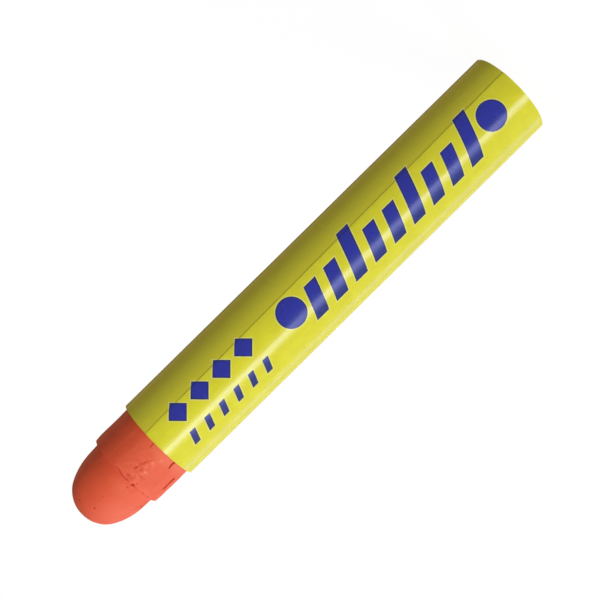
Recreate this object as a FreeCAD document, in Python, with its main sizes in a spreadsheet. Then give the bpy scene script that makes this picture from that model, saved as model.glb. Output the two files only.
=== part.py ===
# Solid paint marker: a cast stick of opaque paint that slides in a printed paper sleeve.
# Millimetres. It stands on the sleeve's back end, with the nose up along +Z.
# The origin is the centre of the back end, and the front of the print faces -Y.

import FreeCAD, Part
import math
import os
import Sketcher

SIZES = {
    # The stick of paint, a standard 11/16 in by 4-3/4 in
    "stick_diameter": 17.46,
    "stick_length": 120.65,
    "back_recess": 1.5,
    "base_round": 0.3,
    # The stepped nose: a shoulder, a flat ledge, a drafted wall and a dome of two tangent arcs
    "shoulder_height": 1.4,
    "shoulder_inset": 0.1,
    "shoulder_round": 0.4,
    "ledge_width": 0.78,
    "root_round": 0.2,
    "nose_height": 12.48,
    "nose_wall_height": 3.27,
    "nose_draft": 2.7,
    "nose_join_angle": 28.3,
    # The wound card tube that the stick slides in
    "sleeve_length": 100.5,
    "running_clearance": 0.05,
    "tube_wall": 0.48,
    # The printed paper glued round the tube, and the lap where it climbs onto its own start
    "glue_line": 0.02,
    "paper_thickness": 0.12,
    "lap_angle": 120,
    "lap_ramp_angle": 5,
    "seam_angle_mouth": 17.7,
    "seam_angle_back": 25.8,
}

# Where the pieces meet, as formulas of the sizes
STICK_RADIUS = "Sizes.stick_diameter / 2"
BORE_RADIUS = f"{STICK_RADIUS} + Sizes.running_clearance"
TUBE_RADIUS = f"{BORE_RADIUS} + Sizes.tube_wall"
PAPER_RADIUS = f"{TUBE_RADIUS} + Sizes.glue_line"
WRAP_RADIUS = f"{PAPER_RADIUS} + Sizes.paper_thickness"
LAP_RADIUS = f"{WRAP_RADIUS} + Sizes.paper_thickness"
SHOULDER_RADIUS = f"{STICK_RADIUS} - Sizes.shoulder_inset"
ROOT_RADIUS = f"{SHOULDER_RADIUS} - Sizes.ledge_width"
LEDGE_HEIGHT = "Sizes.back_recess + Sizes.stick_length - Sizes.nose_height"

# How a sketch numbers its origin and the points of a line or an arc
ORIGIN = (-1, 1)
START, END, CENTRE = range(1, 4)

# How closely an edge has to lie to the place where it is looked for
SAME_PLACE = 0.001

doc = FreeCAD.newDocument("paint_marker")
sheet = doc.addObject("Spreadsheet::Sheet", "Sizes")
for row, (alias, size) in enumerate(SIZES.items(), start=1):
    sheet.set(f"A{row}", alias)
    sheet.set(f"B{row}", str(size))
    sheet.setAlias(f"B{row}", alias)
doc.recompute()


def value(formula):
    """The number that a formula of the sizes gives, in mm or degrees."""
    result = sheet.evalExpression(formula)
    return float(getattr(result, "Value", result))


def body_sketch(body, role):
    """A sketch on one of the body's own origin planes."""
    sketch = body.newObject("Sketcher::SketchObject", f"{body.Name}_sketch")
    plane = next(feature for feature in body.Origin.OriginFeatures if feature.Role == role)
    sketch.AttachmentSupport = (plane, "")
    sketch.MapMode = "FlatFace"
    sketch.Visibility = False
    return sketch


def join(sketch, first, second, kind="Coincident"):
    """The end of one line or arc is the start of the next."""
    sketch.addConstraint(Sketcher.Constraint(kind, first, END, second, START))


def hold(sketch, kind, *places, size):
    """A dimension of the sketch, bound to a formula of the sizes."""
    number = value(size)
    if kind == "Angle":
        number = math.radians(number)
        size = f"({size}) * 1 deg"
    index = sketch.addConstraint(Sketcher.Constraint(kind, *places, number))
    sketch.setExpression(f"Constraints[{index}]", size)


def round_wall(name, inner, outer):
    """A round wall between two radii, as long as the sleeve."""
    body = doc.addObject("PartDesign::Body", name)
    sketch = body_sketch(body, "XY_Plane")
    for radius in (inner, outer):
        circle = sketch.addGeometry(Part.Circle(FreeCAD.Vector(), FreeCAD.Vector(0, 0, 1), value(radius)))
        sketch.addConstraint(Sketcher.Constraint("Coincident", circle, CENTRE, *ORIGIN))
        hold(sketch, "Radius", circle, size=radius)
    pad = body.newObject("PartDesign::Pad", f"{name}_pad")
    pad.Profile = sketch
    pad.setExpression("Length", "Sizes.sleeve_length")
    return body


# The card tube
card_tube = round_wall("card_tube", BORE_RADIUS, TUBE_RADIUS)
card_tube.Label = "card_tube"


# The printed label: one turn of paper, then the lap on top of it
first_turn = round_wall("first_turn", PAPER_RADIUS, WRAP_RADIUS)
second_layer = round_wall("second_layer", WRAP_RADIUS, LAP_RADIUS)


def lap_sector(name, seam_angle, height):
    """The slice of the circle that the lap takes at one end of the sleeve.

    Each corner is the end of a spoke from the axis. The slice starts below the foot of the
    ramp, cuts up through the second layer, and ends along the spoke of the seam.
    """
    half_paper = "Sizes.paper_thickness / 2"
    reach = f"2 * ({LAP_RADIUS})"
    ramp_top = "2 * Sizes.lap_ramp_angle"
    seam = f"{ramp_top} + Sizes.lap_angle"
    corners = [
        (f"{WRAP_RADIUS} - {half_paper}", None),
        (f"{LAP_RADIUS} + {half_paper}", ramp_top),
        (reach, f"{ramp_top} + Sizes.lap_angle / 2"),
        (reach, seam),
    ]
    sketch = doc.addObject("Sketcher::SketchObject", name)
    points = [FreeCAD.Vector()]
    for spoke, (radius, angle) in enumerate(corners):
        turn = math.radians(value(angle)) if angle else 0
        points.append(FreeCAD.Vector(math.cos(turn), math.sin(turn), 0) * value(radius))
        sketch.addGeometry(Part.LineSegment(points[0], points[-1]), True)
        sketch.addConstraint(Sketcher.Constraint("Coincident", spoke, START, *ORIGIN))
        hold(sketch, "Distance", spoke, size=radius)
        if angle:
            hold(sketch, "Angle", spoke, size=angle)
        else:
            sketch.addConstraint(Sketcher.Constraint("Horizontal", spoke))
    sides = []
    for start, end in zip(points, points[1:] + points[:1]):
        sides.append(sketch.addGeometry(Part.LineSegment(start, end)))
    for spoke, side in enumerate(sides[:-1]):
        sketch.addConstraint(Sketcher.Constraint("Coincident", side, END, spoke, END))
        join(sketch, side, side + 1)
    join(sketch, sides[-1], sides[0])
    sketch.addConstraint(Sketcher.Constraint("Coincident", sides[0], START, *ORIGIN))
    sketch.Placement = FreeCAD.Placement(FreeCAD.Vector(), FreeCAD.Rotation(FreeCAD.Vector(0, 0, 1), 90))
    sketch.setExpression("Placement.Rotation.Angle", f"({seam_angle} + 270 - ({seam})) * 1 deg")
    sketch.setExpression("Placement.Base.z", height)
    sketch.Visibility = False
    return sketch


lap_slice = doc.addObject("Part::Loft", "lap_slice")
lap_slice.Sections = [
    lap_sector("lap_at_back", "Sizes.seam_angle_back", "0"),
    lap_sector("lap_at_mouth", "Sizes.seam_angle_mouth", "Sizes.sleeve_length"),
]
lap_slice.Solid = True
lap_slice.Ruled = True

lap = doc.addObject("Part::Common", "lap")
lap.Base = second_layer
lap.Tool = lap_slice

printed_label = doc.addObject("Part::Fuse", "printed_label")
printed_label.Base = first_turn
printed_label.Tool = lap
printed_label.Label = "printed_label"


# The stick of paint
paint_stick = doc.addObject("PartDesign::Body", "paint_stick")
paint_stick.Label = "paint_stick"


def stick_profile():
    """Half of the stick's outline, from the axis at its base round to the axis at its tip."""
    sketch = body_sketch(paint_stick, "XZ_Plane")
    radius, shoulder, root = value(STICK_RADIUS), value(SHOULDER_RADIUS), value(ROOT_RADIUS)
    base, ledge = value("Sizes.back_recess"), value(LEDGE_HEIGHT)
    tip = base + value("Sizes.stick_length")
    wall_top = ledge + value("Sizes.nose_wall_height")
    outline = [
        (0, base),
        (radius, base),
        (radius, ledge - value("Sizes.shoulder_height")),
        (shoulder, ledge),
        (root, ledge),
        (root, wall_top),
    ]
    points = [FreeCAD.Vector(x, y, 0) for x, y in outline]
    lines = []
    for start, end in zip(points, points[1:]):
        lines.append(sketch.addGeometry(Part.LineSegment(start, end)))
    floor, side, shoulder_side, ledge_line, wall = lines

    # The arcs start as a rough dome, which their tangents and angles then settle
    up = FreeCAD.Vector(0, 0, 1)
    join_turn = math.radians(value("Sizes.nose_join_angle"))
    tip_centre = FreeCAD.Vector(0, tip - 0.9 * root, 0)
    flank_centre = FreeCAD.Vector(-0.7 * root, wall_top, 0)
    flank = sketch.addGeometry(Part.ArcOfCircle(Part.Circle(flank_centre, up, 1.7 * root), 0, join_turn))
    dome = sketch.addGeometry(Part.ArcOfCircle(Part.Circle(tip_centre, up, 0.9 * root), join_turn, math.pi / 2))
    axis = sketch.addGeometry(Part.LineSegment(FreeCAD.Vector(0, tip, 0), points[0]))

    for first, second in zip(lines, lines[1:]):
        join(sketch, first, second)
    join(sketch, wall, flank, "Tangent")
    join(sketch, flank, dome, "Tangent")
    join(sketch, dome, axis)
    join(sketch, axis, floor)
    for line in (floor, ledge_line):
        sketch.addConstraint(Sketcher.Constraint("Horizontal", line))
    sketch.addConstraint(Sketcher.Constraint("Vertical", side))
    for place in ((axis, START), (axis, END), (dome, CENTRE)):
        sketch.addConstraint(Sketcher.Constraint("Vertical", *ORIGIN, *place))

    hold(sketch, "DistanceY", *ORIGIN, floor, START, size="Sizes.back_recess")
    hold(sketch, "DistanceX", floor, START, floor, END, size=STICK_RADIUS)
    hold(sketch, "DistanceY", floor, START, axis, START, size="Sizes.stick_length")
    hold(sketch, "DistanceY", side, END, shoulder_side, END, size="Sizes.shoulder_height")
    hold(sketch, "DistanceX", shoulder_side, END, side, END, size="Sizes.shoulder_inset")
    hold(sketch, "DistanceX", ledge_line, END, ledge_line, START, size="Sizes.ledge_width")
    hold(sketch, "DistanceY", ledge_line, END, axis, START, size="Sizes.nose_height")
    hold(sketch, "DistanceY", wall, START, wall, END, size="Sizes.nose_wall_height")
    hold(sketch, "Angle", wall, size="90 + Sizes.nose_draft")
    hold(sketch, "Angle", dome, size="90 - Sizes.nose_join_angle")
    return sketch


turned = paint_stick.newObject("PartDesign::Revolution", "turned_stick")
turned.Profile = stick_profile()
turned.ReferenceAxis = (turned.Profile[0], ["V_Axis"])
turned.Angle = 360
doc.recompute()


def round_edge(shape, radius, height):
    """The name of the circle of this radius at this height."""
    for index, edge in enumerate(shape.Edges, start=1):
        if not edge.Degenerated and isinstance(edge.Curve, Part.Circle):
            offset = abs(edge.Curve.Radius - value(radius)) + abs(edge.Curve.Center.z - value(height))
            if offset < SAME_PLACE:
                return f"Edge{index}"
    raise ValueError(f"no circle of radius {radius} at height {height}")


def rounded(base, name, radius, height, size):
    """The stick with one of its round edges rounded off."""
    fillet = paint_stick.newObject("PartDesign::Fillet", name)
    fillet.Base = (base, [round_edge(base.Shape, radius, height)])
    fillet.setExpression("Radius", size)
    doc.recompute()
    return fillet


# The last two rounds meet on the ledge, so neither takes more than its part of it
root_round = "min(Sizes.root_round; Sizes.ledge_width * 0.3)"
shoulder_round = "min(Sizes.shoulder_round; Sizes.ledge_width * 0.6)"
based = rounded(turned, "base_edge", STICK_RADIUS, "Sizes.back_recess", "Sizes.base_round")
rooted = rounded(based, "nose_root", ROOT_RADIUS, LEDGE_HEIGHT, root_round)
rounded(rooted, "shoulder_edge", SHOULDER_RADIUS, LEDGE_HEIGHT, shoulder_round)

doc.recompute()
for item in doc.Objects:
    if "Invalid" in item.State or "Error" in item.State:
        raise RuntimeError(f"{item.Name} failed: {item.State}")

os.makedirs("parts", exist_ok=True)
for piece in (card_tube, printed_label, paint_stick):
    if piece.Shape.isNull() or not piece.Shape.isValid() or len(piece.Shape.Solids) != 1:
        raise RuntimeError(f"{piece.Label} is not one sound solid")
    piece.Shape.exportStep(f"parts/{piece.Label}.step")
    box = piece.Shape.BoundBox
    print(f"{piece.Label}: {piece.Shape.Volume:.1f} mm3, {box.XLength:.2f} by {box.YLength:.2f} by {box.ZLength:.2f} mm")
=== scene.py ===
# %% [markdown]
# This lesson dresses a solid paint marker: a stick of red-orange paint, cast with a stepped
# dome for a nose, in a snug card tube with a glossy printed paper wrapped round it.
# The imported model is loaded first. It fixes every size and place, so the pieces made here
# are finer versions of its three nodes and stand exactly where those nodes stand.

# %% Load the frame
import math

import bpy
import numpy as np
from mathutils import Matrix, Vector


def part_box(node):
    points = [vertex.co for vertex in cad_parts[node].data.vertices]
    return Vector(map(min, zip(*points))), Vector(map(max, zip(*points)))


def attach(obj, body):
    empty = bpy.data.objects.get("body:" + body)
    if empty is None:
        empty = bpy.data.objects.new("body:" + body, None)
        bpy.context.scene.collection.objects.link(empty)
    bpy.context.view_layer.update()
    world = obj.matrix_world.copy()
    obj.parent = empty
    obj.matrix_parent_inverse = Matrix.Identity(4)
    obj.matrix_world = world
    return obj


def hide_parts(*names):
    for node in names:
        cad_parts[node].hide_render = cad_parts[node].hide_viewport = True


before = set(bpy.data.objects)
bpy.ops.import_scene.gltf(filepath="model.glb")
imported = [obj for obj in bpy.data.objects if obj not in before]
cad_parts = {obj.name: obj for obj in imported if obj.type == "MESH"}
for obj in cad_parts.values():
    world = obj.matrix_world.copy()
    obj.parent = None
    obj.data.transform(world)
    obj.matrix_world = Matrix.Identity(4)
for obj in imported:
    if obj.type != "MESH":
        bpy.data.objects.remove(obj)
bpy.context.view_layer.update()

MM = 0.001
_, sleeve_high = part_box("card_tube")
stick_low, stick_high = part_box("paint_stick")
_, label_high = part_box("printed_label")
MOUTH = sleeve_high.z
STICK_RADIUS = stick_high.x
TUBE_RADIUS = sleeve_high.x
LABEL_RADIUS = label_high.x
print(f"sleeve {MOUTH / MM:.1f} mm long, stick tip at {stick_high.z / MM:.2f} mm")

# %% [markdown]
# Every piece starts from a clean selection, because an operator acts on all that is
# selected. The front of the print faces -Y, and angles round the marker are counted from
# there, positive towards -X, which is the lit side in the photograph.

# %% Select one piece
def nothing_selected():
    """Leaves no object selected, ready for a new one."""
    if bpy.context.mode != "OBJECT":
        bpy.ops.object.mode_set(mode="OBJECT")
    bpy.ops.object.select_all(action="DESELECT")


def only(piece):
    """Makes this object the one that operators act on."""
    nothing_selected()
    piece.select_set(True)
    bpy.context.view_layer.objects.active = piece


# %% [markdown]
# The stick is one cast solid, round all the way. It could be stacked from cylinders and a
# ball, but they would meet in creases. So its outline is drawn once and spun, as a lathe
# turns wood. The nose is a flat ledge, a wall with a little draft, and a dome of two arcs
# that meet smoothly: a long flank and a rounder tip. Their radii follow from the dome's
# height, its root and the angle at which they join. The rows are close together where the
# paint shows and wide in the sleeve.

# %% The stick's outline
NOSE_HEIGHT = 12.48 * MM
LEDGE = stick_high.z - NOSE_HEIGHT
SHOULDER_HEIGHT = 1.4 * MM
SHOULDER_INSET = 0.1 * MM
SHOULDER_ROUND = 0.12 * MM
LEDGE_WIDTH = 0.78 * MM
ROOT_ROUND = 0.2 * MM
WALL_HEIGHT = 3.27 * MM
WALL_DRAFT = math.radians(2.7)
JOIN_ANGLE = math.radians(28.3)
BASE_ROUND = 0.3 * MM
FINE, COARSE = 0.16 * MM, 1.6 * MM
FINE_BELOW_MOUTH = 1.5 * MM
QUARTER = math.pi / 2


def arc(centre, radius, start, end, step):
    """Points along an arc of the outline, as (distance from the axis, height)."""
    count = max(2, math.ceil(abs(end - start) * radius / step))
    turns = [start + (end - start) * i / count for i in range(count + 1)]
    return [(centre[0] + radius * math.cos(a), centre[1] + radius * math.sin(a)) for a in turns]


def run(start, end, step):
    """Points along a straight stretch of the outline, without its last one."""
    count = max(1, math.ceil(math.dist(start, end) / step))
    return [tuple(a + (b - a) * i / count for a, b in zip(start, end)) for i in range(count)]


# %% The arcs of the dome
shoulder = STICK_RADIUS - SHOULDER_INSET
root = shoulder - LEDGE_WIDTH
wall_top = (root - WALL_HEIGHT * math.tan(WALL_DRAFT), LEDGE + WALL_HEIGHT)
dome_height = NOSE_HEIGHT - WALL_HEIGHT
# Two sums give both radii: the arcs end on the axis, and they rise as far as the tip
flank_radius, tip_radius = np.linalg.solve(
    [
        [math.cos(WALL_DRAFT) - math.cos(JOIN_ANGLE), math.cos(JOIN_ANGLE)],
        [math.sin(JOIN_ANGLE) - math.sin(WALL_DRAFT), 1 - math.sin(JOIN_ANGLE)],
    ],
    [wall_top[0], dome_height],
)
flank_centre = (
    wall_top[0] - flank_radius * math.cos(WALL_DRAFT),
    wall_top[1] - flank_radius * math.sin(WALL_DRAFT),
)
tip_centre = (0, stick_high.z - tip_radius)
print(f"flank radius {flank_radius / MM:.2f} mm, tip radius {tip_radius / MM:.2f} mm")

# %% Join the outline, from the middle of the base to the tip
base_centre = (STICK_RADIUS - BASE_ROUND, stick_low.z + BASE_ROUND)
side_foot = (STICK_RADIUS, base_centre[1])
shown_from = (STICK_RADIUS, MOUTH - FINE_BELOW_MOUTH)
shoulder_foot = (STICK_RADIUS, LEDGE - SHOULDER_HEIGHT)
shoulder_centre = (shoulder - SHOULDER_ROUND, LEDGE - SHOULDER_ROUND)
root_centre = (root + ROOT_ROUND, LEDGE + ROOT_ROUND)

outline = [(0, stick_low.z), (STICK_RADIUS / 2, stick_low.z)]
outline += arc(base_centre, BASE_ROUND, -QUARTER, 0, FINE)
outline += run(side_foot, shown_from, COARSE)[1:]
outline += run(shown_from, shoulder_foot, FINE)
outline += run(shoulder_foot, (shoulder, shoulder_centre[1]), FINE)
outline += arc(shoulder_centre, SHOULDER_ROUND, 0, QUARTER, FINE / 2)
outline += arc(root_centre, ROOT_ROUND, -QUARTER, -2 * QUARTER, FINE / 2)
outline += run((root, root_centre[1]), wall_top, FINE)[1:]
outline += arc(flank_centre, flank_radius, WALL_DRAFT, JOIN_ANGLE, FINE)
outline += arc(tip_centre, tip_radius, JOIN_ANGLE, QUARTER, FINE)[1:]
print(f"{len(outline)} points in the outline")

# %% [markdown]
# Now the outline becomes a mesh. It could be filled in from a list of points, but here it is
# extruded, as by hand. No operator adds a single point, so a small plane is merged into one.
# The outline grows from there point by point, and is spun once round the axis. The last copy
# lies on the first, and both ends lie on the axis, so points that coincide are merged.

# %% Spin the stick
SPIN_STEPS = 320
SAME_POINT = 0.002 * MM

nothing_selected()
bpy.ops.mesh.primitive_plane_add(size=MM, location=(0, 0, 0))
stick = bpy.context.object
bpy.ops.object.mode_set(mode="EDIT")
bpy.ops.mesh.merge(type="CENTER")
bpy.ops.transform.translate(value=(outline[0][0], 0, outline[0][1]))
for (x0, z0), (x1, z1) in zip(outline, outline[1:]):
    bpy.ops.mesh.extrude_vertices_move(TRANSFORM_OT_translate={"value": (x1 - x0, 0, z1 - z0)})
bpy.ops.mesh.select_all(action="SELECT")
bpy.ops.mesh.spin(steps=SPIN_STEPS, angle=2 * math.pi, center=(0, 0, 0), axis=(0, 0, 1))
bpy.ops.mesh.select_all(action="SELECT")
bpy.ops.mesh.remove_doubles(threshold=SAME_POINT)
bpy.ops.mesh.normals_make_consistent(inside=False)
bpy.ops.object.mode_set(mode="OBJECT")
print(f"spun to {len(stick.data.vertices)} points")

# %% [markdown]
# The cast paint is marked. On the real stick the ledge has crumbled in front, with a crack
# along it and a small crater beside that, the collar is flaked below the crater, short slits
# run along it near the mouth, and pin holes dot the dome. Colour and bump alone could show
# all this, but the outline would stay perfect, and nothing would catch the light. So each
# mark pushes points in or out along the surface. It is measured as a share at each point, 1
# at its middle and 0 outside it. The share times a depth is the dent, and the share times a
# shade is the painted shade in the mark, which the finish reads later.

# %% The points of a mesh
def points_of(piece):
    """The mesh's points as rows of x, y and z."""
    flat = np.empty(len(piece.data.vertices) * 3)
    piece.data.vertices.foreach_get("co", flat)
    return flat.reshape(-1, 3)


def move_points(piece, points):
    """Puts the mesh's points at new places."""
    piece.data.vertices.foreach_set("co", points.ravel())
    piece.data.update()


# %% How a mark is measured
# Large odd numbers, which scatter the numbers of neighbouring cells
AXIS_HASH, SEED_HASH, LAST_HASH = (73856093, 19349663, 83492791), 6542989, 1274126177
LAST_31_BITS = 0x7FFFFFFF
LEVELS = 20011
# Powers below 1 make the sides of a mark steep and its floor flat
STEEP_DENT, STEEP_CRACK = 0.7, 0.8


def angle_of(points):
    """The angle round the marker, in degrees from the front, positive towards -X."""
    return np.degrees(np.arctan2(-points[:, 0], -points[:, 1]))


def smooth(share):
    """Turns a straight rise from 0 to 1 into one that starts and ends gently."""
    return share * share * (3 - 2 * share)


def noise_field(places, grain, seed):
    """Smooth random numbers from -1 to 1 at these places, one bump for each grain length."""
    cells = places / grain
    corner = np.floor(cells).astype(int)
    part = smooth(cells - corner)
    total = np.zeros(len(places))
    for offset in np.ndindex(2, 2, 2):
        key = corner + np.array(offset)
        mixed = seed * SEED_HASH
        for axis, factor in enumerate(AXIS_HASH):
            mixed = mixed ^ (key[:, axis] * factor)
        mixed = (mixed ^ (mixed >> 13)) * LAST_HASH & LAST_31_BITS
        weight = np.prod(np.where(offset, part, 1 - part), axis=1)
        total += weight * ((mixed % LEVELS) / (LEVELS / 2) - 1)
    return total


def reach_of(points, angle, height):
    """How far each point lies from a place on the stick: round it and up it, in metres."""
    turn = np.radians((angle_of(points) - angle + 180) % 360 - 180)
    from_axis = np.hypot(points[:, 0], points[:, 1])
    return turn * from_axis, points[:, 2] - (MOUTH + height * MM)


def dent(points, angle, height, width, length, lean=0.0):
    """The share of a round or long dent at each point. Lean turns its length off the axis."""
    across, along = reach_of(points, angle, height)
    turned = across * math.cos(lean) + along * math.sin(lean)
    ahead = along * math.cos(lean) - across * math.sin(lean)
    far = np.sqrt((turned / (width * MM / 2)) ** 2 + (ahead / (length * MM / 2)) ** 2)
    return np.clip(1 - far, 0, 1) ** STEEP_DENT


def crack(points, places, width):
    """The share of a crack at each point. It runs from place to place along the surface."""
    nearest = np.full(len(points), np.inf)
    for (angle0, height0), (angle1, height1) in zip(places, places[1:]):
        across, along = reach_of(points, angle0, height0)
        end = np.array([math.radians(angle1 - angle0) * STICK_RADIUS, (height1 - height0) * MM])
        share = np.clip((across * end[0] + along * end[1]) / (end @ end), 0, 1)
        nearest = np.minimum(nearest, np.hypot(across - share * end[0], along - share * end[1]))
    return np.clip(1 - nearest / (width * MM / 2), 0, 1) ** STEEP_CRACK


def patches(points, grain, seed, level, swing):
    """A patchy share: noise that swings round a level and stays between 0 and 1."""
    return np.clip(level + swing * noise_field(points, grain * MM, seed), 0, 1)


# %% [markdown]
# The marks are kept in tables, so that one can be moved or made deeper without a look at the
# rest. A place on the stick is an angle in degrees and a height over the mouth. Heights,
# widths, lengths and depths are in millimetres.

# %% Where the marks are
LEDGE_CRACK = [(-15.5, 8.73), (-9.9, 8.65), (-4.0, 8.92), (1.2, 9.05), (8.9, 8.97)]
LEDGE_CRACK_WIDTH, LEDGE_CRACK_DEPTH, LEDGE_CRACK_SHADE = 0.34, 0.12, 1.1
RIDGE = [(0.5, 6.67), (3.7, 5.94), (6.1, 4.35), (8.8, 3.3), (11.3, 2.59)]
RIDGE_WIDTH, RIDGE_DEPTH, RIDGE_SHADE = 0.4, 0.14, 0.8
CRACK_SHADE_WIDTH = 0.36

# Places, width, depth and shade
SLITS = [
    ([(-2.8, 1.26), (-2.8, 0.2)], 0.3, 0.15, 1.0),
    ([(38.0, 1.69), (36.7, 0.82), (37.9, 0.0)], 0.48, 0.25, 2.2),
    ([(62.1, 5.7), (62.4, 3.04)], 0.72, 0.35, 2.8),
]

# Angle, height, width, length, depth and shade
PITS = [
    # The crater
    (18.0, 9.0, 1.1, 0.9, 0.3, 1.2),
    # Chips
    (15.6, 10.1, 0.5, 0.5, 0.15, 0.35),
    (20.2, 8.2, 0.7, 0.5, 0.15, 0.35),
    (24.0, 8.9, 0.8, 0.4, 0.12, 0.35),
    (37.8, 8.9, 1.2, 0.5, 0.12, 0.35),
    (48.3, 8.85, 0.9, 0.5, 0.1, 0.35),
    (3.0, 8.0, 1.1, 0.6, 0.12, 0.35),
    (10.3, 5.7, 1.0, 0.5, 0.12, 0.35),
    # Bruises
    (67.2, 11.75, 2.6, 1.0, 0.06, 0.35),
    (64.3, 10.19, 1.6, 1.2, 0.06, 0.35),
    (66.0, 10.9, 1.2, 1.6, 0.06, 0.35),
    (6.4, 8.24, 2.4, 1.0, 0.06, 0.35),
    (3.3, 6.19, 0.7, 1.4, 0.06, 0.35),
    (3.2, 4.78, 0.5, 1.2, 0.06, 0.35),
]

# Angle, height and width. Length and depth are multiples of the width, and lean is in radians
PIN_HOLES = [
    (-30.2, 19.07, 0.4),
    (4.9, 17.98, 0.5),
    (1.4, 14.81, 0.3),
    (-40.6, 10.91, 0.35),
    (39.3, 13.59, 0.3),
]
PIN_LENGTH, PIN_DEPTH, PIN_LEAN, PIN_SHADE = 1.5, 0.5, 0.5, 0.6

# Angle, height, width and length
WORN_FLAT, WORN_DEPTH = (-84, 15.6, 7.0, 6.4), 0.12
FLAKED, FLAKED_LEAN, FLAKE_HEIGHT, FLAKE_SHADE = (11, 6.2, 8.5, 10.0), -0.3, 0.1, 0.25
RUBBED = [
    (17, 5.6, 1.8, 1.4),
    (16.2, 3.1, 1.2, 2.2),
    (21.2, 1.9, 1.0, 1.2),
    (14.0, 7.0, 1.2, 1.2),
    (13.2, 4.4, 0.8, 1.6),
]
RUBBED_SHADE = 0.7

# Angle, height, width, length and shade of pale fields. The first is dust, and the second,
# near the mouth on the lit side, is painted light
DUST_AND_PAINTED_LIGHT = [(6.9, 10.95, 6.0, 4.0, 0.12), (38, 0.6, 15.0, 4.0, 0.25)]
print(f"{len(SLITS)} slits, {len(PITS)} pits, {len(PIN_HOLES)} pin holes, {len(RUBBED)} pale spots")

# %% Work out the cracks and pits
points = points_of(stick)
patchy = patches(points, grain=0.9, seed=9, level=0.75, swing=0.6)
inward = LEDGE_CRACK_DEPTH * MM * crack(points, LEDGE_CRACK, LEDGE_CRACK_WIDTH) * patchy
# Painted shade: each crack, slit, pit and pin hole also gets a shade, which the finish paints
# darker inside
painted_crack_shade = LEDGE_CRACK_SHADE * crack(points, LEDGE_CRACK, CRACK_SHADE_WIDTH) * patchy
inward += RIDGE_DEPTH * MM * crack(points, RIDGE, RIDGE_WIDTH) * patchy
painted_crack_shade += RIDGE_SHADE * crack(points, RIDGE, CRACK_SHADE_WIDTH) * patchy**2
for places, width, depth, shade in SLITS:
    share = crack(points, places, width)
    inward += depth * MM * share
    painted_crack_shade += shade * share
for angle, height, width, length, depth, shade in PITS:
    share = dent(points, angle, height, width, length)
    inward += depth * MM * share
    painted_crack_shade += shade * share
for angle, height, width in PIN_HOLES:
    share = dent(points, angle, height, width, width * PIN_LENGTH, lean=PIN_LEAN)
    inward += width * PIN_DEPTH * MM * share
    painted_crack_shade += PIN_SHADE * share
inward += WORN_DEPTH * MM * dent(points, *WORN_FLAT)
print(f"cracks and pits up to {inward.max() / MM:.2f} mm deep")

# %% Work out the pale spots
chalk_and_painted_light = RUBBED_SHADE * sum(dent(points, *place) for place in RUBBED)
chalk_and_painted_light *= patches(points, grain=0.35, seed=7, level=0.5, swing=1)
# The pale fields add dust and painted light to the same mask as the rubbed spots
for angle, height, width, length, shade in DUST_AND_PAINTED_LIGHT:
    chalk_and_painted_light += shade * dent(points, angle, height, width, length)
print(f"{(chalk_and_painted_light > 0).sum()} points are dusty")

# %% Work out the flakes
# Below the crater thin scales of paint stand up, and others have come away
SCALE_GRAIN, CRUMB_GRAIN, CRUMB_SHARE = 0.7, 0.35, 0.7
BARE_BELOW = -0.2

flaky = dent(points, *FLAKED, lean=FLAKED_LEAN)
scales = noise_field(points, SCALE_GRAIN * MM, seed=3)
scales += CRUMB_SHARE * noise_field(points, CRUMB_GRAIN * MM, seed=4)
inward -= FLAKE_HEIGHT * MM * flaky * scales
# Painted shade where the flakes have come away
painted_crack_shade += FLAKE_SHADE * flaky * np.clip(BARE_BELOW - scales, 0, 1)
print(f"{(flaky > 0).sum()} points are flaked")

# %% Work out the crumbled rim and the uneven casting
# The rim of the ledge has crumbled a little, most of all in front
RIM_BELOW_LEDGE, RIM_SPREAD, RIM_ENDS_OVER_LEDGE = 0.15, 0.3, 0.05
RIM_DEPTH, RIM_LEVEL, RIM_GRAIN = 0.14, 0.6, 0.6
FRONT_ANGLE, FRONT_SPREAD = 18, 32

from_rim = points[:, 2] - LEDGE + RIM_BELOW_LEDGE * MM
rim = np.exp(-((from_rim / (RIM_SPREAD * MM)) ** 2))
front = np.exp(-(((angle_of(points) - FRONT_ANGLE) / FRONT_SPREAD) ** 2))
broken = rim * front * (points[:, 2] < LEDGE + RIM_ENDS_OVER_LEDGE * MM)
inward += RIM_DEPTH * MM * broken * (RIM_LEVEL + noise_field(points, RIM_GRAIN * MM, seed=8))

# A cast face waves a little. In the mouth it stays round, to fit the tube
FINE_WAVE, FINE_WAVE_GRAIN = 0.012, 1.2
WIDE_WAVE, WIDE_WAVE_GRAIN = 0.05, 4.5
ROUND_TO = 1.6

clear_of_mouth = np.clip((points[:, 2] - MOUTH) / MM - ROUND_TO, 0, 1)
inward += FINE_WAVE * MM * (1 + noise_field(points, FINE_WAVE_GRAIN * MM, seed=5))
inward += WIDE_WAVE * MM * noise_field(points, WIDE_WAVE_GRAIN * MM, seed=6) * clear_of_mouth
print(f"{(broken > 0.5).sum()} points are in the worst of the rim")

# %% Press the marks into the stick
NEVER_ZERO = 1e-9

# Outwards is away from the axis on the collar, and away from the ledge's middle on the dome
outward = points.copy()
outward[:, 2] = np.maximum(0, points[:, 2] - LEDGE)
outward /= np.linalg.norm(outward, axis=1)[:, None] + NEVER_ZERO
points -= outward * inward[:, None]
move_points(stick, points)
for name, mask in (("painted_crack_shade", painted_crack_shade), ("chalk_and_painted_light", chalk_and_painted_light), ("flaky", flaky)):
    layer = stick.data.attributes.new(name, "FLOAT", "POINT")
    layer.data.foreach_set("value", np.clip(mask, 0, 1))
print(f"marks up to {inward.max() / MM:.2f} mm deep")

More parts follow.
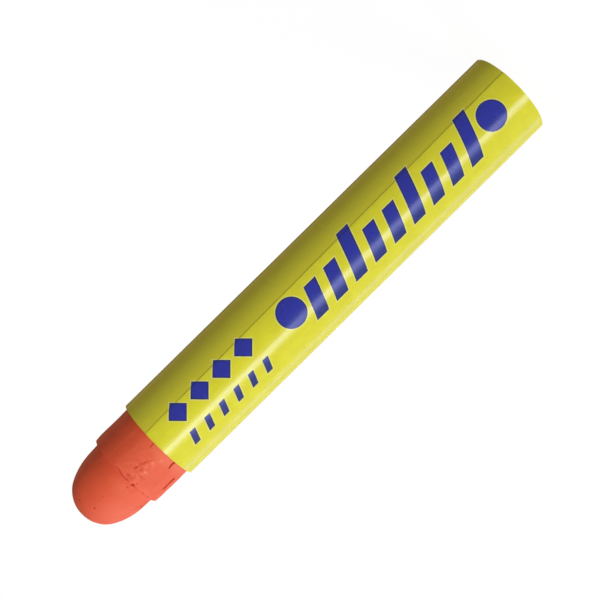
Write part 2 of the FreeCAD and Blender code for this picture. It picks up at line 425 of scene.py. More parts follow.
# %% [markdown]
# A finished piece is shaded smooth between its sharp edges. It gets a name, it is tied to the
# body that it moves with, and the imported node that it stands for is hidden. These ties could
# be written out for each piece, but one helper makes all of them in the same way.

# %% Shade and seat the stick
def shade_smooth(piece, sharp_from):
    """Shades a piece smooth, apart from edges that turn by more than this many degrees."""
    only(piece)
    bpy.ops.object.shade_smooth_by_angle(angle=math.radians(sharp_from))


def seat(piece, name, body, node):
    """Names a finished piece, ties it to its body and hides the node that it stands for."""
    piece.name = name
    piece.data.name = name
    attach(piece, body)
    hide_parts(node)
    print(f"{name}: {len(piece.data.polygons)} faces on {body}")


shade_smooth(stick, sharp_from=50)
seat(stick, "stick_of_paint", "stick", "paint_stick")

# %% [markdown]
# The card tube shows only as a thin ring at each end, and inside when the stick is pushed
# forward. One cylinder could be cut out of another. An open cylinder is simpler: it gets its
# wall from Solidify, inwards from the outside, and then a small rounding, because a card
# edge is never knife sharp.

# %% Helpers for the tube
def apply_modifier(piece, kind, **settings):
    """Adds a modifier with these settings and applies it at once."""
    only(piece)
    modifier = piece.modifiers.new(kind.title(), kind)
    for name, setting in settings.items():
        setattr(modifier, name, setting)
    bpy.ops.object.modifier_apply(modifier=modifier.name)


def open_cylinder(sides, radius, low, high):
    """An upright cylinder round the marker's axis, without end faces."""
    nothing_selected()
    bpy.ops.mesh.primitive_cylinder_add(
        vertices=sides,
        radius=radius,
        depth=high - low,
        end_fill_type="NOTHING",
        location=(0, 0, (low + high) / 2),
    )
    bpy.ops.object.transform_apply(location=True, rotation=True, scale=True)
    return bpy.context.object


# %% The card tube
CLEARANCE = 0.05 * MM
CARD_ROUND = 0.06 * MM
TUBE_SIDES = 192

tube = open_cylinder(TUBE_SIDES, TUBE_RADIUS, 0, MOUTH)
wall = TUBE_RADIUS - (STICK_RADIUS + CLEARANCE)
apply_modifier(tube, "SOLIDIFY", thickness=wall, offset=-1, use_even_offset=True)
apply_modifier(
    tube,
    "BEVEL",
    width=CARD_ROUND,
    segments=2,
    limit_method="ANGLE",
    angle_limit=math.radians(60),
)
shade_smooth(tube, sharp_from=40)
seat(tube, "wound_card_tube", "sleeve", "card_tube")

# %% [markdown]
# The label is one sheet of paper, glued round the tube so that it laps over its own start. A
# tube with a step cut along it could stand for it. Here it is made as the real one is: a
# flat sheet as long as the sleeve and wide enough for the turn and the lap. The lap is
# raised by the paper's thickness while the sheet is flat, with a ramp where it climbs. Then
# the sheet gets its thickness, is bent round the tube and is twisted a little, because the
# real paper went on slightly askew and its seam drifts along the sleeve. The rim of the
# sheet is bare paper, so it gets a second material slot.

# %% Cut the sheet of paper
PAPER = 0.12 * MM
LAP_ANGLE, RAMP_ANGLE = 122.5, 5
SEAM_AT_MOUTH, SEAM_AT_BACK = 17.7, 25.8
COLUMNS, ROWS = 500, 40

sheet_radius = LABEL_RADIUS - PAPER / 2
turn = 360 + LAP_ANGLE
sheet_width = math.radians(turn) * sheet_radius

nothing_selected()
bpy.ops.mesh.primitive_grid_add(x_subdivisions=COLUMNS, y_subdivisions=ROWS, size=1)
label = bpy.context.object
bpy.ops.transform.resize(value=(sheet_width, MOUTH, 1))
bpy.ops.object.transform_apply(location=True, rotation=True, scale=True)
print(f"a sheet of {sheet_width / MM:.1f} by {MOUTH / MM:.1f} mm")

# %% Stand the sheet up and raise its lap
LIFTED_BY, LIFTED_OVER = 0.05 * MM, 9

flat = points_of(label)
from_cut_edge = np.degrees((sheet_width / 2 - flat[:, 0]) / sheet_radius)
climb = smooth(np.clip((LAP_ANGLE + RAMP_ANGLE - from_cut_edge) / RAMP_ANGLE, 0, 1))
lifted_edge = LIFTED_BY * np.clip(1 - from_cut_edge / LIFTED_OVER, 0, 1)
cut_edge = math.radians(SEAM_AT_BACK) * sheet_radius
upright = np.empty_like(flat)
upright[:, 0] = flat[:, 0] + cut_edge - sheet_width / 2
upright[:, 1] = -PAPER * climb - lifted_edge
upright[:, 2] = flat[:, 1] + MOUTH / 2
move_points(label, upright)
print(f"the lap takes {LAP_ANGLE} degrees, and its ramp {RAMP_ANGLE}")

# %% Wrap the sheet round the tube
INK, BARE_PAPER = 0, 1

label.data.materials.append(bpy.data.materials.new("printed_paper"))
label.data.materials.append(bpy.data.materials.new("cut_paper_edge"))
apply_modifier(label, "SOLIDIFY", thickness=PAPER, offset=0, material_offset_rim=BARE_PAPER)
bend = math.radians(turn)
apply_modifier(label, "SIMPLE_DEFORM", deform_method="BEND", deform_axis="Z", angle=bend)
# The bend curls the sheet round a line behind it, so the ring is drawn forward to the axis
points = points_of(label)
points[:, 1] -= sheet_radius
move_points(label, points)
twist = math.radians(SEAM_AT_MOUTH - SEAM_AT_BACK)
apply_modifier(label, "SIMPLE_DEFORM", deform_method="TWIST", deform_axis="Z", angle=twist)
only(label)
bpy.ops.object.mode_set(mode="EDIT")
bpy.ops.mesh.select_all(action="SELECT")
bpy.ops.mesh.normals_make_consistent(inside=False)
bpy.ops.object.mode_set(mode="OBJECT")
shade_smooth(label, sharp_from=40)
seat(label, "printed_wrap", "sleeve", "printed_label")
radii = np.hypot(*points_of(label)[:, :2].T)
print(f"the wrap lies between {radii.min() / MM:.2f} and {radii.max() / MM:.2f} mm from the axis")

# %% [markdown]
# Each finish is a small program in shader nodes. Written out by hand that is hard to read,
# so one class wraps the output of a node, and sums, products and comparisons of it add the
# Math nodes. Any other node comes from one method, which takes its settings before the
# values or links of its sockets.

# %% A socket that can be calculated with
class Shade:
    """One output of a node in a material."""

    def __init__(self, tree, socket=None):
        self.tree = tree
        self.socket = socket

    def node(self, kind, settings=None, sockets=None, output=0):
        """Adds any node and gives back one of its outputs."""
        made = self.tree.nodes.new(kind)
        for name, setting in (settings or {}).items():
            setattr(made, name, setting)
        for name, value in (sockets or {}).items():
            if isinstance(value, Shade):
                self.tree.links.new(value.socket, made.inputs[name])
            else:
                made.inputs[name].default_value = value
        return Shade(self.tree, made.outputs[output] if made.outputs else None)

    def maths(self, operation, *values):
        return self.node("ShaderNodeMath", {"operation": operation}, dict(enumerate(values)))

    def __add__(self, other):
        return self.maths("ADD", self, other)

    def __sub__(self, other):
        return self.maths("SUBTRACT", self, other)

    def __mul__(self, other):
        return self.maths("MULTIPLY", self, other)

    def __truediv__(self, other):
        return self.maths("DIVIDE", self, other)

    def __mod__(self, other):
        return self.maths("FLOORED_MODULO", self, other)

    def __abs__(self):
        return self.maths("ABSOLUTE", self)

    def __neg__(self):
        return self.maths("MULTIPLY", self, -1)

    def __rsub__(self, other):
        return self.maths("SUBTRACT", other, self)

    __radd__ = __add__
    __rmul__ = __mul__

    def least(self, other):
        return self.maths("MINIMUM", self, other)

    def most(self, other):
        return self.maths("MAXIMUM", self, other)

    def root(self):
        return self.maths("SQRT", self)

    def fade(self, low, high):
        """0 below low, 1 above high, and smooth between. It falls where high is below low."""
        start, end, flip = (low, high, False) if low < high else (high, low, True)
        sockets = {"Value": self, "From Min": start, "From Max": end}
        rising = self.node("ShaderNodeMapRange", {"interpolation_type": "SMOOTHSTEP"}, sockets)
        return 1 - rising if flip else rising

    def xyz(self):
        """The three numbers of a vector."""
        sockets = {"Vector": self}
        return [self.node("ShaderNodeSeparateXYZ", None, sockets, axis) for axis in range(3)]

    def vector(self, x, y, z):
        return self.node("ShaderNodeCombineXYZ", None, {"X": x, "Y": y, "Z": z})

    def noise(self, scale, detail=2.0, roughness=0.5):
        """Cloudy numbers round 0, mostly between -1 and 1. Scale is bumps for each millimetre."""
        sockets = {"Vector": self, "Scale": scale, "Detail": detail, "Roughness": roughness}
        return self.node("ShaderNodeTexNoise", None, sockets) * 4 - 2

    def blend(self, first, second):
        """A colour between two others, by this mask. Sockets 6 and 7 of a Mix node are colours."""
        settings = {"data_type": "RGBA", "clamp_factor": True}
        return self.node("ShaderNodeMix", settings, {0: self, 6: first, 7: second}, output=2)

    def bump(self):
        """The shading normal of a height in millimetres."""
        return self.node("ShaderNodeBump", None, {"Height": self, "Distance": MM, "Strength": 1.0})

    def surface(self, **sockets):
        """Ends the material in a Principled BSDF. Its sockets are named here with underscores."""
        named = {name.replace("_", " "): value for name, value in sockets.items()}
        shader = self.node("ShaderNodeBsdfPrincipled", None, named)
        self.node("ShaderNodeOutputMaterial", {"is_active_output": True}, {"Surface": shader})


def new_finish(material):
    """Empties a material's nodes and gives back the place on the piece, in millimetres."""
    material.use_nodes = True
    material.node_tree.nodes.clear()
    place = Shade(material.node_tree).node("ShaderNodeTexCoord", output="Object")
    return place.node("ShaderNodeVectorMath", {"operation": "SCALE"}, {0: place, "Scale": 1 / MM})


def colour(red, green, blue):
    return (red, green, blue, 1)


# %% [markdown]
# Ink has no thickness that shows. Thin shapes could be laid on the paper, but they would
# stand off it when seen from the side, so the print is drawn in the finish. The place of a
# point is taken on the unrolled sleeve: one number runs along the marker and one across it,
# both in millimetres. The pattern is plain: a row of slanted bars between two discs, and a
# row of diamonds over short dashes. Each shape is a signed distance, which is negative
# inside, so shapes join with a minimum, and one soft step gives all of them a crisp edge.
# A repeated shape is drawn once in a cell that the row repeats.

# %% The shapes of the print
PRINT_RADIUS = LABEL_RADIUS / MM
LEAN = 0.36
BAR_PITCH, BAR_WIDTH, BARS_FROM, BARS_TO = 5.4, 3.0, 14.1, 57.3
BAR_FOOT, TALL_HEAD, SHORT_HEAD, TALL_EVERY = 5.3, -4.7, -1.6, 3.0
DISCS_AT, DISC_ROW, DISC_RADIUS = (63.5, 7.9), 0.3, 3.2
GEMS_FROM, GEMS_TO, GEM_PITCH, GEM_SIZE, GEM_ROW = 75.0, 93.0, 6.0, 2.5, -1.5
DASHES_FROM, DASHES_TO, DASH_PITCH = 74.0, 94.0, 4.0
DASH_WIDTH, DASH_ROW, DASH_HALF = 1.5, 4.5, 1.5


def angle_round(place):
    """The angle round the marker in radians from the front, positive towards -X."""
    x, y, _ = place.xyz()
    return place.maths("ARCTAN2", -x, -y)


def in_row(along, first, last, pitch):
    """The place within a repeated cell, the cell's number, and the distance past the row's ends."""
    steps = (along - (first - pitch / 2)) / pitch
    cell = (steps % 1.0) * pitch - pitch / 2
    past_ends = abs(along - (first + last) / 2) - (last - first + pitch) / 2
    return cell, steps.maths("FLOOR", steps), past_ends


def bars(along, across):
    """Slanted bars, of which every third is tall."""
    cell, number, past = in_row(along - across * LEAN, BARS_FROM, BARS_TO, BAR_PITCH)
    past_tall = number % TALL_EVERY
    short = past_tall.maths("GREATER_THAN", past_tall, 0.5)
    head = short * (SHORT_HEAD - TALL_HEAD) + TALL_HEAD
    width = abs(cell) * math.cos(math.atan(LEAN)) - BAR_WIDTH / 2
    length = (head - across).most(across - BAR_FOOT)
    return width.most(length).most(past)


def disc(along, across, centre):
    """A disc whose centre is this far along the marker."""
    from_centre = along - centre
    from_row = across - DISC_ROW
    return (from_centre * from_centre + from_row * from_row).root() - DISC_RADIUS


def diamonds(along, across):
    """A row of squares that stand on a corner."""
    cell, _, past = in_row(along, GEMS_FROM, GEMS_TO, GEM_PITCH)
    edge = (abs(cell) + abs(across - GEM_ROW) - GEM_SIZE) * math.sqrt(0.5)
    return edge.most(past)


def dashes(along, across):
    """A row of short slanted dashes."""
    from_row = across - DASH_ROW
    cell, _, past = in_row(along - from_row * LEAN, DASHES_FROM, DASHES_TO, DASH_PITCH)
    return (abs(cell) - DASH_WIDTH / 2).most(abs(from_row) - DASH_HALF).most(past)


def print_distance(along, across):
    """The distance to the nearest printed shape in millimetres, negative inside."""
    nearest = bars(along, across)
    for centre in DISCS_AT:
        nearest = nearest.least(disc(along, across, centre))
    return nearest.least(diamonds(along, across)).least(dashes(along, across))


# %% [markdown]
# The wrap is yellow paper with blue print under a clear gloss. Two flat colours would do for
# a sign, but real ink varies. The blue has a thin dark rim, where its ink is thickest, and a
# hair of pale paper shows round it, because the yellow is cut back there. The blue is painted
# duller towards the lit side, as painted shade. The yellow is cloudy and faintly streaked
# lengthwise. Where the lap ends, the layer beyond its edge is a little darker. The paper
# follows the tube in faint lengthwise ripples, and these bend the long reflections a little,
# as on a real wrapper.

# %% Inks and how they lie
YELLOW = colour(0.77, 0.735, 0.029)
DEEP_YELLOW = colour(0.71, 0.665, 0.024)
UNDER_YELLOW = colour(0.655, 0.60, 0.024)
BLUE = colour(0.022, 0.030, 0.34)
BLUE_WITH_PAINTED_SHADE = colour(0.008, 0.020, 0.17)
PALE_GAP = colour(0.80, 0.785, 0.27)
DARK_RIM = colour(0.012, 0.014, 0.07)
SOFT_EDGE = 0.04
STRETCH = 0.03

place = new_finish(label.data.materials[INK])
x, y, z = place.xyz()
lengthwise = place.vector(x, y, z * STRETCH)
along, across = z, angle_round(place) * PRINT_RADIUS
distance = print_distance(along, across)
inked = distance.fade(SOFT_EDGE, -SOFT_EDGE)
print(f"the print: {len(place.tree.nodes)} nodes")

# %% The yellow
SPECK_SHARE, STREAK_SHARE = 0.35, 0.45
SEAM_DRIFT = math.radians(SEAM_AT_BACK - SEAM_AT_MOUTH) * PRINT_RADIUS / (MOUTH / MM)
SEAM_FOOT = math.radians(SEAM_AT_BACK) * PRINT_RADIUS
SEAM_EDGE, SEAM_SHADE_ENDS = 0.05, (-16, -3)
GAP_WIDTH, GAP_SHARE = 0.2, 0.8

mottled = place.noise(0.35, detail=3).fade(-1.2, 1.2)
specks = place.noise(3.5, detail=1).fade(0.2, 1.6)
streaked = lengthwise.noise(1.1, detail=2).fade(0.1, 1.4)
yellow = mottled.blend(YELLOW, DEEP_YELLOW)
yellow = (specks * SPECK_SHARE).blend(yellow, DEEP_YELLOW)
yellow = (streaked * STREAK_SHARE).blend(yellow, UNDER_YELLOW)
from_seam = across - (along * SEAM_DRIFT - SEAM_FOOT)
beyond_seam = from_seam.fade(SEAM_EDGE, -SEAM_EDGE) * from_seam.fade(*SEAM_SHADE_ENDS)
yellow = beyond_seam.blend(yellow, UNDER_YELLOW)
gap = distance.fade(GAP_WIDTH + SOFT_EDGE, GAP_WIDTH - SOFT_EDGE)
yellow = (gap * GAP_SHARE).blend(yellow, PALE_GAP)
print(f"the seam drifts by {SEAM_DRIFT * MOUTH / MM:.2f} mm along the sleeve")

# %% The blue over it, the gloss and the ripples
RIM_WIDTH = 0.26
PAINTED_SHADE_BETWEEN = (-0.2, 2.6)
PAPER_ROUGHNESS, ROUGHER_INK, CLOUDY_GLOSS = 0.21, 0.07, 0.02
RIPPLE_RELIEF, PAPER_RELIEF = 0.006, 0.0002

# Painted shade: the blue is duller towards the lit side
blue = across.fade(*PAINTED_SHADE_BETWEEN).blend(BLUE, BLUE_WITH_PAINTED_SHADE)
blue = distance.fade(-RIM_WIDTH, SOFT_EDGE * 2 - RIM_WIDTH).blend(blue, DARK_RIM)
cloudy = place.noise(0.25, detail=2) * CLOUDY_GLOSS
ripples = lengthwise.noise(0.55, detail=1) * RIPPLE_RELIEF
grain = place.noise(6.0, detail=1) * PAPER_RELIEF
place.surface(
    Base_Color=inked.blend(yellow, blue),
    Roughness=inked * ROUGHER_INK + cloudy + PAPER_ROUGHNESS,
    IOR=1.5,
    Normal=(ripples + grain).bump(),
)
print(f"printed paper: {len(place.tree.nodes)} nodes")

# %% [markdown]
# The cut edges of the sheet show bare paper, a thin pale line at each end of the sleeve and
# along the seam. The printed finish could run over them, but ink and gloss lie on the face
# alone, so they have a finish of their own: matt, with fibres.

# %% The cut edge of the paper
CUT_PAPER = colour(0.74, 0.69, 0.30)
GREY_PAPER = colour(0.50, 0.45, 0.22)
CUT_RELIEF = 0.006

place = new_finish(label.data.materials[BARE_PAPER])
fibres = place.noise(5.0, detail=3)
place.surface(
    Base_Color=fibres.fade(-0.5, 1.5).blend(CUT_PAPER, GREY_PAPER),
    Roughness=0.85,
    IOR=1.45,
    Normal=(fibres * CUT_RELIEF).bump(),
)
print(f"cut paper: {len(place.tree.nodes)} nodes")

# %% [markdown]
# The tube is grey-brown board, wound in plies, which show as rings on its cut ends. The
# rings could be cut into the mesh, but they are finer than a hair. So they come from the
# distance to the axis, and the fibres from a noise that is squeezed along the tube, so that
# they run round the bore.

# %% Wound card
BOARD = colour(0.36, 0.27, 0.17)
DARK_BOARD = colour(0.20, 0.145, 0.09)
PLY = 0.16
SQUEEZE = 4
PLY_SHADE, FIBRE_SHADE, BOARD_SHADE = 0.8, 0.2, 0.2
PLY_RELIEF, FIBRE_RELIEF = 0.02, 0.01

tube.data.materials.append(bpy.data.materials.new("wound_card"))
place = new_finish(tube.data.materials[0])
x, y, z = place.xyz()
from_axis = (x * x + y * y).root()
ply = abs((from_axis / PLY) % 1.0 - 0.5) * 2
seams = ply.fade(0.75, 1.0) * PLY_SHADE
fibres = place.vector(x, y, z * SQUEEZE).noise(1.6, detail=4, roughness=0.65)
place.surface(
    Base_Color=(seams + fibres * FIBRE_SHADE + BOARD_SHADE).blend(BOARD, DARK_BOARD),
    Roughness=0.9,
    IOR=1.45,
    Normal=(fibres * FIBRE_RELIEF - seams * PLY_RELIEF).bump(),
)
print(f"wound card: {len(place.tree.nodes)} nodes")

# %% [markdown]
# The stick is dried paint: red-orange, opaque and almost matt. Cast paint is never one even
# colour. Here it is cloudy, it has soft streaks along the collar where it was pushed out of
# its mould, pale dusty spots where it has been rubbed, and crumbs on the flaked patch. A pale
# patch near the mouth on the lit side is painted light. The front of the collar and the
# shaded side are a little paler, as painted light, and the lit side of the tip is a little
# deeper, as painted shade. The cracks, the pits and the hollows between the crumbs are painted
# darker as painted shade, and so is the sharp rim of the ledge, which the lamps would show as
# a bright line. This shade could be placed anew in the finish. But the marks that were
# pressed into the mesh left their masks on it, so colour and shape agree.

# %% Paint and how it varies
RED = colour(0.765, 0.098, 0.034)
DEEP_RED = colour(0.69, 0.076, 0.024)
LIGHT_RED = colour(0.90, 0.160, 0.074)
CHALK = colour(0.93, 0.36, 0.22)
# The colour of the painted shade in cracks, pits, crumb hollows and on the ledge's rim
PAINTED_SHADE_RED = colour(0.42, 0.002, 0.001)
LEDGE_AT = LEDGE / MM
COLLAR_BELOW = (LEDGE_AT + 0.5, LEDGE_AT - 1.0)
COLLAR_STRETCH = 0.08


def mask_on(place, name):
    """A number that the mesh carries at each point."""
    return place.node("ShaderNodeAttribute", {"attribute_name": name}, None, output="Fac")


stick.data.materials.append(bpy.data.materials.new("cast_paint"))
place = new_finish(stick.data.materials[0])
x, y, z = place.xyz()
clouds = place.noise(0.16, detail=4, roughness=0.6)
streaks = place.vector(x, y, z * COLLAR_STRETCH).noise(0.9, detail=3)
grain = place.noise(2.6, detail=4, roughness=0.7)
crumbs = place.noise(1.5, detail=4, roughness=0.65)
collar = z.fade(*COLLAR_BELOW)
flaky = mask_on(place, "flaky")
print(f"the ledge is {LEDGE_AT:.2f} mm up")

# %% The tones of the paint, with painted light and shade
# Angles in radians, and heights and places in millimetres, between which a tone comes in
FRONT_BEGINS, FRONT_ENDS, FRONT_PAINTED_LIGHT = (-0.5, -0.15), (0.8, 0.2), 0.4
SHADE_BEGINS, SHADE_ENDS, SHADED_SIDE_PAINTED_LIGHT = (-0.95, -1.2), (-2.8, -2.0), 0.8
SHADE_BELOW = (121, 116)
TIP_ABOVE, TIP_TOWARDS_LIGHT, TIP_PAINTED_SHADE = (114, 119), (-1.0, -4.0), 0.6
PALE_GRAIN, PALE_SHARE = 0.4, 0.5

paint = clouds.fade(-1.4, 1.4).blend(DEEP_RED, RED)
pale = streaks.fade(0.2, 1.6) * collar + grain.fade(0.3, 1.6) * PALE_GRAIN
paint = (pale * PALE_SHARE).blend(paint, LIGHT_RED)
turned = angle_round(place)
# Painted light: the front of the collar is paler
front = turned.fade(*FRONT_BEGINS) * turned.fade(*FRONT_ENDS)
paint = (collar * front * FRONT_PAINTED_LIGHT).blend(paint, LIGHT_RED)
# Painted light: the shaded side is paler, below the tip
painted_light_on_shaded_side = turned.fade(*SHADE_BEGINS) * turned.fade(*SHADE_ENDS) * z.fade(*SHADE_BELOW)
paint = (painted_light_on_shaded_side * SHADED_SIDE_PAINTED_LIGHT).blend(paint, LIGHT_RED)
# Painted shade: the lit side of the tip is deeper
painted_shade_on_lit_tip = z.fade(*TIP_ABOVE) * x.fade(*TIP_TOWARDS_LIGHT)
paint = (painted_shade_on_lit_tip * TIP_PAINTED_SHADE).blend(paint, DEEP_RED)
print(f"the tones: {len(place.tree.nodes)} nodes")

# %% Dust, crumbs and painted shade
DUST_AND_PAINTED_LIGHT_SHARE, PALE_CRUMBS, CRUMB_PAINTED_SHADE, RIM_PAINTED_SHADE = 0.75, 0.8, 0.45, 0.3
RIM_BEGINS, RIM_ENDS = (LEDGE_AT - 0.14, LEDGE_AT - 0.04), (LEDGE_AT + 0.14, LEDGE_AT)

painted_crack_shade = mask_on(place, "painted_crack_shade")
paint = (mask_on(place, "chalk_and_painted_light") * DUST_AND_PAINTED_LIGHT_SHARE).blend(paint, CHALK)
paint = (crumbs.fade(0.5, 1.3) * flaky * PALE_CRUMBS).blend(paint, CHALK)
# Painted shade in the hollows between the crumbs, where their relief dips
paint = (crumbs.fade(-0.6, -1.4) * flaky * CRUMB_PAINTED_SHADE).blend(paint, PAINTED_SHADE_RED)
# Painted shade along the rim of the ledge, which the lamps would show as a bright line
rim = z.fade(*RIM_BEGINS) * z.fade(*RIM_ENDS)
paint = (rim * RIM_PAINTED_SHADE).blend(paint, PAINTED_SHADE_RED)
# Painted shade down in the cracks, slits, pits and bare flakes
paint = painted_crack_shade.blend(paint, PAINTED_SHADE_RED)
print(f"the stains: {len(place.tree.nodes)} nodes")

# %% The matt surface of the paint
PAINT_ROUGHNESS, CLOUDY_MATT, ROUGHER_CRACKS = 0.7, 0.03, 0.3
GRAIN_RELIEF, FINE_RELIEF, STREAK_RELIEF, CRUMB_RELIEF = 0.008, 0.002, 0.004, 0.05

relief = grain * GRAIN_RELIEF + place.noise(7.0, detail=2) * FINE_RELIEF
relief = relief + streaks * STREAK_RELIEF * collar + crumbs * flaky * CRUMB_RELIEF
place.surface(
    Base_Color=paint,
    Roughness=clouds * CLOUDY_MATT + PAINT_ROUGHNESS + painted_crack_shade * ROUGHER_CRACKS,
    IOR=1.5,
    Normal=relief.bump(),
)
print(f"cast paint: {len(place.tree.nodes)} nodes")

# %% [markdown]
# The stage is a pale floor and an even white background, and both are white to the camera.
# More light could whiten them, but it would bleach the marker too, so they show as white by
# themselves. The floor is left out of reflections, because an upright glossy sleeve would
# mirror it all over its lower half. It keeps the soft shadow at the marker's foot, which
# fades into plain white farther out. What lights the marker is dimmer than what the camera
# sees: a grey world and a few soft boxes.

# %% The floor
WHITE = colour(1, 1, 1)
FLOOR_SIZE = 6
# The floor's lit share is darker than white, and its shining share makes up for that
FLOOR_SHADOW, LIT_LOSS = 0.12, 0.6
SHADOW_WITHIN = (700, 250)
LIT_FLOOR = colour(0.8, 0.8, 0.8)
BOUNCE_FLOOR = colour(0.35, 0.35, 0.35)


def seen_directly(shade):
    """1 for rays that show the background: to the camera, in gloss and through glass."""
    rays = ("Is Camera Ray", "Is Glossy Ray", "Is Transmission Ray")
    seen = [shade.node("ShaderNodeLightPath", output=ray) for ray in rays]
    return seen[0].most(seen[1]).most(seen[2])


nothing_selected()
bpy.ops.mesh.primitive_plane_add(size=FLOOR_SIZE, location=(0, 0, 0))
floor = bpy.context.object
floor.name = "floor"
floor.visible_glossy = False
floor.data.materials.append(bpy.data.materials.new("floor"))
place = new_finish(floor.data.materials[0])
x, y, _ = place.xyz()
nearby = (x * x + y * y).root().fade(*SHADOW_WITHIN)
lit = place.node("ShaderNodeBsdfDiffuse", None, {"Color": LIT_FLOOR})
bright = 1.0 + FLOOR_SHADOW * LIT_LOSS
white = place.node("ShaderNodeEmission", None, {"Color": WHITE, "Strength": bright})
shown = place.node("ShaderNodeMixShader", None, {0: nearby * FLOOR_SHADOW, 1: white, 2: lit})
grey = place.node("ShaderNodeBsdfDiffuse", None, {"Color": BOUNCE_FLOOR})
either = place.node("ShaderNodeMixShader", None, {0: seen_directly(place), 1: grey, 2: shown})
place.node("ShaderNodeOutputMaterial", {"is_active_output": True}, {"Surface": either})
print(f"a floor {FLOOR_SIZE} m wide")

# %% The world
WORLD_LIGHT = 0.24

world = bpy.data.worlds.new("studio")
bpy.context.scene.world = world
world.use_nodes = True
world.node_tree.nodes.clear()
shade = Shade(world.node_tree)
level = seen_directly(shade).fade(0, 1) * (1 - WORLD_LIGHT) + WORLD_LIGHT
background = shade.node("ShaderNodeBackground", None, {"Color": WHITE, "Strength": level})
shade.node("ShaderNodeOutputWorld", {"is_active_output": True}, {"Surface": background})
print(f"the world shines at {WORLD_LIGHT}")

# %% [markdown]
# Gloss shows its surroundings, so what stands round a glossy thing matters as much as the
# lamps. Lamps of the right shapes could be mirrored, but they would light the paint too. So
# a round curtain stands outside the camera and is seen in reflections only. It is grey, and
# two tall strips on it shine. A narrow bright one draws the long streak on the sleeve, and a
# dim one draws the faint line near the edge. The strips are bluish: a yellow highlight on
# yellow ink would look like more ink, and not like gloss. Round the shaded side the curtain
# is brown, and it is dark behind the marker, as the edge of the sleeve shows.

# %% The curtain
CURTAIN_RADIUS = 0.9
CURTAIN_LOW, CURTAIN_HIGH = -0.7, 2.2
CURTAIN_SIDES = 96

curtain = open_cylinder(CURTAIN_SIDES, CURTAIN_RADIUS, CURTAIN_LOW, CURTAIN_HIGH)
curtain.name = "curtain"
for ray in ("camera", "diffuse", "transmission", "volume_scatter", "shadow"):
    setattr(curtain, f"visible_{ray}", False)
curtain.data.materials.append(bpy.data.materials.new("curtain"))
curtain.data.materials[0].cycles.emission_sampling = "NONE"
print(f"a curtain {CURTAIN_RADIUS * 2} m across")

# %% What the curtain shows
WARM_SHADE = colour(1.0, 0.68, 0.3)
WARM_EDGE = colour(1.0, 0.93, 0.6)
COOL_STREAK = colour(0.58, 0.60, 1.0)

# Angles in degrees between which a tone comes in, and how much it adds or takes away
GREY = 0.4
LIT_HALF, LIT_MORE = (10, 60), 0.45
LIT_BACK, LIT_BACK_MORE = (118, 135), 0.15
SHADED_HALF, SHADED_MORE = (-75, -120), 0.26
SHADED_BACK, SHADED_BACK_LESS = (-150, -160), 0.58
STREAK_BEGINS, STREAK_ENDS, STREAK = (25, 29), (47, 36), 10.0
EDGE_BEGINS, EDGE_ENDS, EDGE_GLOW = (104, 110), (126, 116), 1.6
BROWN_FROM = (-70, -115)

place = new_finish(curtain.data.materials[0])
turned = angle_round(place) * math.degrees(1)
grey = turned.fade(*LIT_HALF) * LIT_MORE + turned.fade(*LIT_BACK) * LIT_BACK_MORE + GREY
grey = grey + turned.fade(*SHADED_HALF) * SHADED_MORE
grey = grey - turned.fade(*SHADED_BACK) * SHADED_BACK_LESS
streak = turned.fade(*STREAK_BEGINS) * turned.fade(*STREAK_ENDS) * STREAK
edge = turned.fade(*EDGE_BEGINS) * turned.fade(*EDGE_ENDS) * EDGE_GLOW
tint = (streak + edge).fade(0, 1).blend(WHITE, COOL_STREAK)
tint = turned.fade(*LIT_BACK).blend(tint, WARM_EDGE)
tint = turned.fade(*BROWN_FROM).blend(tint, WARM_SHADE)
glow = place.node("ShaderNodeEmission", None, {"Color": tint, "Strength": grey + streak + edge})
place.node("ShaderNodeOutputMaterial", {"is_active_output": True}, {"Surface": glow})
print(f"its streak is {STREAK / GREY:.0f} times as bright as its grey")

# %% [markdown]
# Four lamps only shade the marker. They are left out of reflections, or the sleeve would
# mirror each of them as a bright box. The key lamp stands on the side of the long streak.
# The fifth, the veil, does the opposite: it lays a wide whitish haze on the almost matt
# paint and lights nothing else. It stands so high that the sleeve's upright walls mirror
# it past the camera.

# %% Lamps
LAMP_AIM = Vector((0, 0, MOUTH * 0.6))
PLAIN, ORANGE, CREAM = (1, 1, 1), (1, 0.8, 0.6), (1, 0.95, 0.8)

# Name, angle, elevation, distance, width, height, strength and tint
SOFT_BOXES = [
    ("key", 29, 12, 0.9, 0.45, 0.35, 12.3, PLAIN),
    ("side_fill", 120, 18, 1.0, 0.5, 0.4, 5.6, PLAIN),
    ("back_fill", 175, 25, 1.0, 0.5, 0.5, 2.0, PLAIN),
    ("shade_fill", -95, 15, 1.0, 0.5, 0.5, 0.3, ORANGE),
    ("veil", 70, 34, 0.9, 0.8, 0.4, 9.5, CREAM),
]


def direction(turn, rise):
    """The way from the marker to a place at this angle round it and this elevation."""
    level = math.cos(rise)
    return Vector((-math.sin(turn) * level, -math.cos(turn) * level, math.sin(rise)))


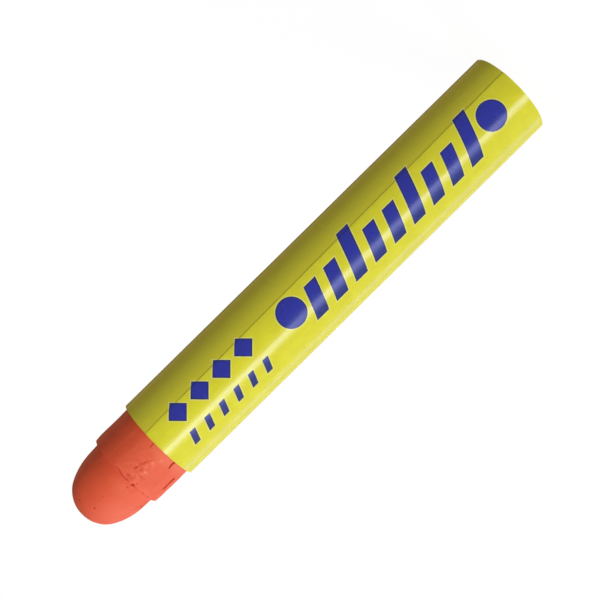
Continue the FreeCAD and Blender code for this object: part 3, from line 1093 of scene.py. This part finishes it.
def soft_box(name, angle, elevation, distance, width, height, strength, tint):
    """A soft box that faces the marker. Its strength is the white that its front shows."""
    toward = direction(math.radians(angle), math.radians(elevation))
    lamp = bpy.data.lights.new(name, "AREA")
    lamp.shape = "RECTANGLE"
    lamp.size, lamp.size_y = width, height
    lamp.energy = strength * math.pi * width * height
    lamp.color = tint
    box = bpy.data.objects.new(name, lamp)
    bpy.context.scene.collection.objects.link(box)
    box.location = LAMP_AIM + toward * distance
    box.rotation_euler = (-toward).to_track_quat("-Z", "Y").to_euler()
    hazes = name == "veil"
    box.visible_camera = False
    box.visible_glossy = hazes
    box.visible_diffuse = not hazes
    print(f"{name}: {lamp.energy:.2f} W")


for settings in SOFT_BOXES:
    soft_box(*settings)

# %% [markdown]
# The camera stands where the photograph's did. Its place and lens were worked out from the
# two straight sides and the two round ends of the sleeve in the picture. It is level with
# the upper half of the marker, and it is rolled over, which lays the marker aslant.

# %% Camera
CAMERA_PLACE = Vector((11.84, -257.5, 67.38)) * MM
PITCH, YAW, ROLL = math.radians(1.58), math.radians(-2.66), math.radians(134.58)
FOCAL_PIXELS, PICTURE, SENSOR = 1263.7, 600, 36

level_ahead = Vector((math.sin(YAW), math.cos(YAW), 0))
ahead = level_ahead * math.cos(PITCH) - Vector((0, 0, math.sin(PITCH)))
level_right = Vector((math.cos(YAW), -math.sin(YAW), 0))
level_up = level_right.cross(ahead)
right = level_right * math.cos(ROLL) - level_up * math.sin(ROLL)
up = level_right * math.sin(ROLL) + level_up * math.cos(ROLL)

lens = bpy.data.cameras.new("camera")
lens.sensor_width = SENSOR
lens.lens = FOCAL_PIXELS / PICTURE * SENSOR
lens.clip_start = 0.01
camera = bpy.data.objects.new("camera", lens)
bpy.context.scene.collection.objects.link(camera)
camera.location = CAMERA_PLACE
camera.rotation_euler = Matrix((right, up, -ahead)).transposed().to_euler()
bpy.context.scene.camera = camera
bpy.context.scene.view_settings.view_transform = "Standard"
print(f"lens {lens.lens:.1f} mm")
